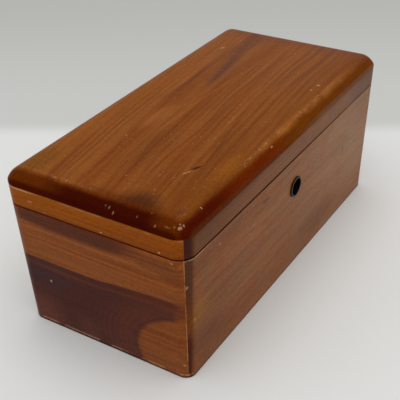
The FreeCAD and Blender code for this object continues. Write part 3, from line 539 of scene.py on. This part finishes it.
# Hinges
# Two small brass butt hinges let into the back edge: leaves stamped from sheet, with knuckles rolled round a drawn
# pin. They have tarnished together with their screws.
dress(
    brass, "left_hinge_body_leaf", "right_hinge_body_leaf", "left_hinge_lid_leaf", "right_hinge_lid_leaf",
    "left_hinge_pin", "right_hinge_pin")

# Strike
# A plate of the lock's own stamped steel, screwed under the lid's front rail, with a riveted hook that the bolt
# slides over to hold the lid down.
dress(lock_steel, "strike_plate", "strike_hook")

# Lid frame
# Four strips sawn off the same boards as the walls, so that their mitres and rounded corners run on above the seam.
# They are glued to each other and to the lid board, and sprayed with it.
rail_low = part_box("lid_front_rail")[0].z / MM
# where the painted shade of the seam's gap lies on the rails' lower edge, in mm
rail_gap_shade = (rail_low + 0.25, rail_low + 0.10)
front_rail = cedar("lacquered_cedar_front_rail", along=0, across=2, drift=3.0, seed=25.9)
x, _, z = front_rail.plain
colour = stained(
    front_rail, grain(front_rail, "#7f502f", "#754629", "#5f3521", late=0.35),
    # darker to the left, a painted sheen greying it to the right, and painted shade under the lid board
    ("#643817", 0.75, (x, -40.0, -104.0)),
    ("#64463a", 0.60, (x, 60.0, 84.0)),
    ("#6b3d22", 0.50, (z, rail_low + 8.0, rail_low + 12.0)),
    ("#552d0e", 0.55, (z, rail_low + 7.5, rail_low + 11.5), (x, 0.0, -70.0)),
    # the strip of the rounded corner
    ("#3c1813", 0.92, (round_corner(front_rail), 8.8, 4.2)))
# painted shade in the gap of the seam
colour = seam_shaded(front_rail, colour, *rail_gap_shade, (x, 110.0, -20.0))
dress(sprayed(front_rail, colour, (0, -1, 0), gloss=0.05), "lid_front_rail")

left_rail = cedar("lacquered_cedar_left_rail", along=1, across=2, drift=1.2, seed=29.6)
_, y, z = left_rail.plain
colour = stained(
    left_rail, grain(left_rail, "#9c5508", "#8d4606", "#78390c"),
    ("#8a4410", 0.50, (y, 10.0, -40.0)),
    ("#6e3510", 0.60, (z, rail_low + 3.2, rail_low + 0.8), (y, 48.0, 34.0)))
# painted shade in the gap of the seam
colour = seam_shaded(left_rail, colour, *rail_gap_shade, tint=RED_PAINTED_SHADE)
upper_arris = ((z, 87.7, 88.1), (z, 89.0, 88.6))
left_rail_worn = [
    (0.6, *upper_arris, (y, 28.0, 42.0)),
    (0.2, *upper_arris, (left_rail.patches, 0.54, 0.62)),
    (0.6, (off(left_rail, (37.5, 82.8), (1.8, 0.6)), 1.1, 0.4)),
    (0.7, (off(left_rail, (29, 78.8), (0.8, 0.5)), 1.1, 0.5)),
    (0.7, (off(left_rail, (-7, 78.8), (0.8, 0.5)), 1.1, 0.5)),
    (0.8, (off(left_rail, (-41, 79.1), (0.8, 0.6)), 1.1, 0.5))]
dress(sprayed(left_rail, colour, (-1, 0, 0), gloss=0.03, worn=left_rail_worn), "lid_left_rail")

for name, along, drift, seed, out in (("back", 0, 3.0, 33.8, (0, 1, 0)), ("right", 1, 1.2, 37.5, (1, 0, 0))):
    rail = cedar(f"lacquered_cedar_{name}_rail", along=along, across=2, drift=drift, seed=seed)
    # painted shade in the gap of the seam
    colour = seam_shaded(rail, grain(rail, *PLANK), *rail_gap_shade)
    dress(sprayed(rail, colour, out), f"lid_{name}_rail")

# Lid board
# One wide cedar board, glued on the frame, with a broad round-over worked along all four edges and round the
# corners. Years of handling have dented the soft top and chipped the near corner.
lid_low, lid_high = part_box("lid_top")
FOOT_CORNER = 5.8 * MM
LID_CORNER = FOOT_CORNER + lid_low.z * math.tan(LEAN)
ROUND_OVER = 10.8 * MM
UPRIGHT_EDGE = 1.0 * MM
GRID = 0.75 * MM
RINGS = 16
CORNER_STEPS = 14
thickness = lid_high.z - lid_low.z
rise = thickness - UPRIGHT_EDGE
sweep = (ROUND_OVER ** 2 + rise ** 2) / (2 * rise)
flat_x = lid_high.x - ROUND_OVER
flat_y = lid_high.y - ROUND_OVER
columns = round(2 * flat_x / GRID)
rows = round(2 * flat_y / GRID)


def edge_height(inset):
    """Height of the round-over at a distance in from the lid's edge."""
    rest = max(ROUND_OVER - inset, 0.0)
    return lid_high.z - sweep + math.sqrt(sweep ** 2 - rest ** 2)


def ring(inset):
    """Points round the lid at a distance in from its edge, from the front left corner anticlockwise."""
    run = max(LID_CORNER, inset)
    bend = max(LID_CORNER - inset, 0.0)
    reach_x = lid_high.x - run
    reach_y = lid_high.y - run
    points = []
    for quarter, (sign_x, sign_y) in enumerate(((1, -1), (1, 1), (-1, 1), (-1, -1))):
        along_x = quarter % 2 == 0
        sign = 1 if quarter < 2 else -1
        count = columns if along_x else rows
        for step in range(count + 1):
            slide = sign * (2 * step / count - 1)
            if along_x:
                points.append((slide * reach_x, sign_y * (reach_y + bend)))
            else:
                points.append((sign_x * (reach_x + bend), slide * reach_y))
        for step in range(1, CORNER_STEPS):
            angle = (quarter - 1 + step / CORNER_STEPS) * math.pi / 2
            points.append((sign_x * reach_x + bend * math.cos(angle), sign_y * reach_y + bend * math.sin(angle)))
    return points


lid_mesh = bmesh.new()
loops = [[lid_mesh.verts.new((px, py, lid_low.z)) for px, py in ring(0.0)]]
for step in range(RINGS + 1):
    swing = math.asin(ROUND_OVER / sweep) * (1 - step / RINGS)
    inset = ROUND_OVER - sweep * math.sin(swing)
    loops.append([lid_mesh.verts.new((px, py, edge_height(inset))) for px, py in ring(inset)])
for lower, upper in zip(loops, loops[1:]):
    for i, vertex in enumerate(lower):
        after = (i + 1) % len(lower)
        lid_mesh.faces.new((vertex, lower[after], upper[after], upper[i]))
lid_mesh.faces.new(reversed(loops[0]))
field = [[
    lid_mesh.verts.new((flat_x * (2 * i / columns - 1), flat_y * (2 * j / rows - 1), lid_high.z))
    for i in range(columns + 1)] for j in range(rows + 1)]
for near, far in zip(field, field[1:]):
    for i in range(columns):
        lid_mesh.faces.new((near[i], near[i + 1], far[i + 1], far[i]))
bmesh.ops.remove_doubles(lid_mesh, verts=lid_mesh.verts, dist=WELD)

# Dents, in mm: where each lies, how long, wide and deep it is, and its turn from the grain in degrees
DENTS = [
    (-71.5, -29.7, 9.0, 1.4, 0.40, -26), (-79, -27, 3.0, 1.3, 0.05, -40), (-93.5, -51.5, 1.3, 2.2, 0.08, 0),
    (-106.9, 18.2, 1.8, 1.4, 0.08, 70), (-106.8, 25.2, 3.6, 1.3, 0.05, 80), (-105.9, 39.8, 1.8, 1.4, 0.06, 30),
    (-103.6, 37.8, 1.4, 1.3, 0.05, 0), (-106, 45.2, 1.6, 1.3, 0.05, 0), (-91.5, 14.1, 1.5, 1.3, 0.05, 0),
    (-24.9, -52.4, 3.4, 1.3, 0.07, 0), (-25.4, -49.6, 1.7, 1.5, 0.07, 0), (-33, -49.6, 2.2, 1.7, 0.06, -40),
    (-43.3, -49.5, 3.6, 1.3, 0.05, -15), (-50.5, -50.8, 1.6, 1.4, 0.06, 0), (-48.5, -49.4, 1.6, 1.4, 0.05, 0),
    (-38.3, -49.5, 2.0, 1.4, 0.05, 0), (15.5, -49, 3.0, 1.5, 0.06, 0), (20, -49.3, 1.7, 1.4, 0.05, 0),
    (38.7, -48.5, 5.0, 1.5, 0.05, 5), (66.5, -51.3, 1.8, 1.5, 0.05, 0), (50.8, -43.6, 2.4, 3.2, 0.08, 0),
    (43.1, -42.8, 2.4, 1.8, 0.08, -40), (66.4, -43.1, 2.0, 1.6, 0.05, 0), (74.6, 36, 7.0, 1.7, 0.08, -10),
    (66.3, 28, 2.0, 1.8, 0.07, 0), (87.6, -10.1, 2.0, 1.7, 0.07, 0), (90.7, 31.7, 1.8, 1.6, 0.05, 0),
    (-82.4, -40.7, 1.7, 1.4, 0.06, 30), (-67, -9.6, 1.6, 1.4, 0.06, 70), (-15.5, -21.1, 2.2, 2.0, 0.05, 0),
    (-89.5, -19.3, 1.6, 1.4, 0.05, 50), (6.9, -15.7, 1.7, 1.5, 0.06, 30), (-45, -44.2, 2.2, 1.4, 0.05, 30),
    (-80.1, -47.6, 1.7, 1.4, 0.05, 0), (-53.9, 20.5, 1.7, 1.5, 0.06, 30), (-27.1, 2.9, 1.6, 1.5, 0.06, 60),
    (-103.4, -48.9, 2.2, 1.4, 0.05, -30), (-7, 4, 1.7, 1.5, 0.05, 20), (-1, -30, 2.8, 1.4, 0.05, 20),
    (-112.3, -11.8, 1.5, 1.3, 0.08, 0), (-112.1, -9.9, 1.8, 1.3, 0.05, 60), (-113.6, -15.2, 1.5, 1.3, 0.08, 0),
    (-112.3, -28.1, 1.4, 1.3, 0.05, 0), (-109.1, -34.3, 1.4, 1.3, 0.05, 0), (-113.4, -38.7, 1.4, 1.3, 0.08, 0),
    (-109.8, -42.8, 1.4, 1.2, 0.03, 0), (-112.4, -45.0, 7.0, 1.2, 0.04, 84), (-110.7, -50.9, 3.2, 1.6, 0.35, -50),
    (-109.3, -50.2, 1.5, 1.4, 0.18, 0), (-108.8, -51.7, 1.5, 1.4, 0.18, 0), (-111.5, -48.5, 1.8, 1.3, 0.06, 60),
]
# How much of the lacquer a dent takes off, for each mm of its depth
WEAR_PER_MM = 13.0
wear = lid_mesh.verts.layers.float.new("wear")
upper_verts = [vertex for vertex in lid_mesh.verts if vertex.co.z > lid_low.z + UPRIGHT_EDGE / 2]
nearby = kdtree.KDTree(len(upper_verts))
for i, vertex in enumerate(upper_verts):
    nearby.insert((vertex.co.x, vertex.co.y, 0.0), i)
nearby.balance()
for dent_x, dent_y, long, wide, deep, turn in DENTS:
    middle = Vector((dent_x, dent_y, 0.0)) * MM
    turning = Matrix.Rotation(-math.radians(turn), 3, "Z")
    for place, i, _ in nearby.find_range(middle, max(long, wide) / 2 * MM):
        local = turning @ (place - middle) / MM
        share = 1 - (2 * local.x / long) ** 2 - (2 * local.y / wide) ** 2
        if share > 0:
            upper_verts[i].co.z -= deep * MM * share
            upper_verts[i][wear] = max(upper_verts[i][wear], min(1.0, WEAR_PER_MM * deep) * share)

lid_data = bpy.data.meshes.new("lid_board")
lid_mesh.to_mesh(lid_data)
lid_mesh.free()
lid_data.shade_smooth()
lid_data.set_sharp_from_angle(angle=SHARP)
lid_board = bpy.data.objects.new("lid_board", lid_data)
bpy.context.scene.collection.objects.link(lid_board)
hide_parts("lid_top")
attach(lid_board, "lid")

# The figure sweeps a little to the back towards the right, and the lacquer has darkened round the worked edges:
# maroon along the left end and the near half of the front, amber along the rest.
lid_flow = ((-120, -16), (-80, -9), (-40, -4), (0, 0), (40, 3), (80, 5), (120, 6))
lid = cedar("lacquered_cedar_lid", along=0, across=1, drift=2.5, seed=41.2, flow=lid_flow, ring_step=4.5)
x, y, _ = lid.plain
half_x = lid_high.x / MM
half_y = lid_high.y / MM
colour = stained(
    lid, grain(lid, "#8c501f", "#7f4216", "#67330f", late=0.56),
    # a painted sheen, lighter at the back and greyer to the right, with soft clouds of darker and lighter wood
    ("#98591f", 0.35, (y, 26.0, 44.0)),
    ("#80543a", 0.20, (x, -10.0, 90.0)),
    ("#6c3404", 0.50, (off(lid, (-76, -46), (70, 26)), 1.0, 0.3)),
    ("#663510", 0.32, (off(lid, (-58, 1), (36, 15)), 1.0, 0.3)),
    ("#663510", 0.32, (off(lid, (-30, -35), (34, 12)), 1.0, 0.3)),
    ("#66400c", 0.50, (off(lid, (-98, 44), (20, 12)), 1.0, 0.3)),
    ("#a5662f", 0.40, (off(lid, (-26, 18), (24, 7)), 1.0, 0.2)),
    ("#723b0c", 0.35, (y, -32.0, -42.0), (x, -30.0, 0.0)))
# Single streaks of the grain: tint, half width and strength, where each starts and ends, and its line
FADE = 25.0
for tint, width, strength, first, last, points in (
        ("#5c3424", 4.5, 0.55, 30, 110, ((-120, 9), (-25, 11), (5, 13), (25, 16), (50, 19), (75, 24), (120, 28))),
        ("#5f3a2e", 8.0, 0.45, 45, 100, ((-120, 9), (25, 15), (50, 18), (75, 22), (95, 21), (120, 22))),
        ("#62341f", 2.5, 0.45, 0, 70, ((-120, 28), (-10, 28), (20, 28), (60, 29), (120, 30))),
        ("#9a5a24", 1.6, 0.35, -35, 60, ((-120, 9), (-35, 8.3), (0, 7.7), (25, 6.3), (60, 3.5), (120, 0))),
        ("#5a2a14", 1.1, 0.35, -80, -47, ((-120, -8), (-80, -2.5), (-60, 2), (-47, 4.5), (120, 10))),
        ("#5a2a14", 1.4, 0.45, -72, 50, ((-120, -16), (-72, -13), (-20, -10.5), (5, -7), (50, -6), (120, -5))),
        ("#5a2a14", 1.4, 0.35, -50, 0, ((-120, -42), (-55, -33), (-20, -26), (0, -22), (120, -18))),
        ("#5f3422", 2.4, 0.40, 45, 120, ((-120, -24), (40, -22), (120, -22))),
        ("#5f3422", 2.4, 0.40, 50, 120, ((-120, -31), (40, -30), (120, -29))),
        ("#5f3422", 2.4, 0.35, 45, 120, ((-120, -38), (40, -37), (120, -36)))):
    line = over(lid, *points)
    colour = stain(
        lid, colour, tint, (line, -width, 0.0), (line, width, 0.0), (lid.u, first - FADE, first),
        (lid.u, last + FADE, last), strength=strength)
slit = over(lid, (-120, -12), (-72, -29.3), (-60, -33.9), (120, -103))
ragged_x = add(lid.tree, "Math", {0: lid.patches, 1: 3.0, 2: x}, operation="MULTIPLY_ADD").outputs[0]
ragged_y = add(lid.tree, "Math", {0: lid.patches, 1: 2.0, 2: y}, operation="MULTIPLY_ADD").outputs[0]
colour = stained(
    lid, colour,
    # a painted sheen on the greyer right end, an amber cloud, two dark clouds at the left end, and the dark slit of
    # the gouge
    ("#6a4038", 0.35, (x, 88.0, 108.0)),
    ("#9a5a14", 0.50, (off(lid, (-58, -45), (24, 6)), 1.0, 0.0)),
    ("#40200f", 0.80, (off(lid, (-107, -25), (15, 17)), 1.0, 0.2)),
    ("#4a2622", 0.45, (off(lid, (-104, -46), (5, 2)), 1.1, 0.2)),
    ("#2a1410", 0.95, (slit, -1.4, -0.2), (slit, 1.4, 0.2), (lid.u, -69.0, -66.5), (lid.u, -61.5, -65.0)),
    # the worked edge of the left end, and that of the right end
    ("#582200", 0.92, (ragged_x, 10.5 - half_x, 6.0 - half_x)),
    ("#390700", 0.92, (ragged_x, 9.0 - half_x, 5.5 - half_x), (y, 34.0, 12.0), (y, -44.0, -32.0)),
    ("#5a2408", 0.50, (x, 12.5 - half_x, 8.5 - half_x), (x, 5.5 - half_x, 7.0 - half_x), (y, 12.0, 0.0),
     (y, -44.0, -34.0)),
    ("#3a0700", 0.85, (x, 2.2 - half_x, 0.6 - half_x)),
    ("#5c2604", 1.00, (ragged_x, half_x - 5.5, half_x - 2.0)),
    # the worked edge of the front, from its pale upper arris down, and that of the back; the arris is rubbed, with a
    # painted highlight
    ("#a8682a", 0.50, (ragged_y, 10.5 - half_y, 8.0 - half_y), (lid.patches, 0.35, 0.60), (x, -60.0, 0.0),
     (x, 100.0, 40.0)),
    ("#6a3300", 1.00, (ragged_y, 7.2 - half_y, 3.8 - half_y)),
    ("#642100", 1.00, (ragged_y, 6.4 - half_y, 3.8 - half_y), (x, 10.0, -40.0)),
    ("#4a0e00", 1.00, (ragged_y, 9.0 - half_y, 3.4 - half_y), (x, -55.0, -90.0)),
    ("#5c3212", 0.50, (y, 1.5 - half_y, 0.3 - half_y), (x, 20.0, -60.0)),
    ("#74523e", 0.60, (y, 1.3 - half_y, 0.2 - half_y), (x, -10.0, 40.0)),
    ("#6b3004", 1.00, (ragged_y, half_y - 4.5, half_y - 2.0)))
rubbed = add(lid.tree, "Attribute", attribute_name="wear").outputs["Fac"]
lid_worn = [
    (0.66, (rubbed, 0.20, 0.80)),
    (0.4, (lid.flecks, 0.62, 0.74), (lid.patches, 0.48, 0.60), (x, 11.0 - half_x, 16.0 - half_x),
     (y, 6.0 - half_y, 9.0 - half_y)),
    (0.2, (y, -50.8, -49.8), (y, -47.8, -49.1), (lid.flecks, 0.50, 0.64), (x, -62.0, -52.0), (x, 75.0, 60.0)),
    (0.2, (x, -107.9, -107.0), (x, -105.0, -106.0), (lid.flecks, 0.52, 0.66), (y, -4.0, 6.0))]
lid_data.materials.append(sprayed(lid, colour, (0, 0, 1), gloss=0.012, fine=0.18, bare_below=-0.5, worn=lid_worn))

# Stage
# A plain floor of matt white paper that turns grey towards the back, under an even sky of studio light and one
# large softbox overhead. The camera sees the front, the left end and the top.
VIEW_AZIMUTH = math.radians(-56.992)
VIEW_ELEVATION = math.radians(32.573)
VIEW_ROLL = math.radians(-2.125)
VIEW_PLACE = (-365.645, -227.849, 306.857)
SENSOR_WIDTH = 36.0
FOCAL_LENGTH = 74.912
NEAREST = 0.01
PAPER_AZIMUTH = math.radians(-60.887)
PAPER_ROUGH = 0.95
PAPER_GLOSS = 0.1
FLOOR_REACH = 30.0
SKY_STRENGTH = 0.75
SOFTBOX_SIZE = 1.4
SOFTBOX_POWER = 7.0
SOFTBOX_PLACE = (-0.2, -0.2, 1.5)
floor_corners = [(i * FLOOR_REACH, j * FLOOR_REACH, 0) for i, j in ((-1, -1), (1, -1), (1, 1), (-1, 1))]
floor_mesh = bpy.data.meshes.new("floor")
floor_mesh.from_pydata(floor_corners, [], [(0, 1, 2, 3)])
floor = bpy.data.objects.new("floor", floor_mesh)
bpy.context.scene.collection.objects.link(floor)
paper = started("matt_white_paper")
heading = Vector((-math.sin(PAPER_AZIMUTH), math.cos(PAPER_AZIMUTH), 0.0))
ahead = add(paper.tree, "VectorMath", {0: paper.place, 1: heading}, operation="DOT_PRODUCT").outputs["Value"]
colour = stained(
    paper, linear("#ebebe8"), ("#d3d3cf", 1.0, (ahead, 141.0, 167.0)), ("#c2c1bd", 1.0, (ahead, 130.0, 470.0)))
paper_shader = add(paper.tree, "BsdfPrincipled", {
    "Base Color": colour, "Roughness": PAPER_ROUGH, "Specular IOR Level": PAPER_GLOSS})
add(paper.tree, "OutputMaterial", {"Surface": paper_shader})
floor_mesh.materials.append(paper.material)

world = bpy.data.worlds.new("studio")
bpy.context.scene.world = world
world.use_nodes = True
sky = world.node_tree.nodes["Background"]
sky.inputs["Color"].default_value = linear("#f4f5f6")
sky.inputs["Strength"].default_value = SKY_STRENGTH

softbox = bpy.data.lights.new("softbox", "AREA")
softbox.shape = "SQUARE"
softbox.size = SOFTBOX_SIZE
softbox.energy = SOFTBOX_POWER
softbox_object = bpy.data.objects.new("softbox", softbox)
softbox_object.location = SOFTBOX_PLACE
bpy.context.scene.collection.objects.link(softbox_object)

camera_data = bpy.data.cameras.new("camera")
camera_data.sensor_width = SENSOR_WIDTH
camera_data.lens = FOCAL_LENGTH
camera_data.clip_start = NEAREST
camera = bpy.data.objects.new("camera", camera_data)
bpy.context.scene.collection.objects.link(camera)
away = Vector((
    math.sin(VIEW_AZIMUTH) * math.cos(VIEW_ELEVATION), -math.cos(VIEW_AZIMUTH) * math.cos(VIEW_ELEVATION),
    math.sin(VIEW_ELEVATION)))
level = (-away).cross(Vector((0, 0, 1))).normalized()
upright = level.cross(-away)
roll = Matrix.Rotation(VIEW_ROLL, 3, away)
aim = Matrix((roll @ level, roll @ upright, away)).transposed().to_4x4()
camera.matrix_world = Matrix.Translation(Vector(VIEW_PLACE) * MM) @ aim
bpy.context.scene.camera = camera
bpy.context.scene.view_settings.view_transform = "Standard"
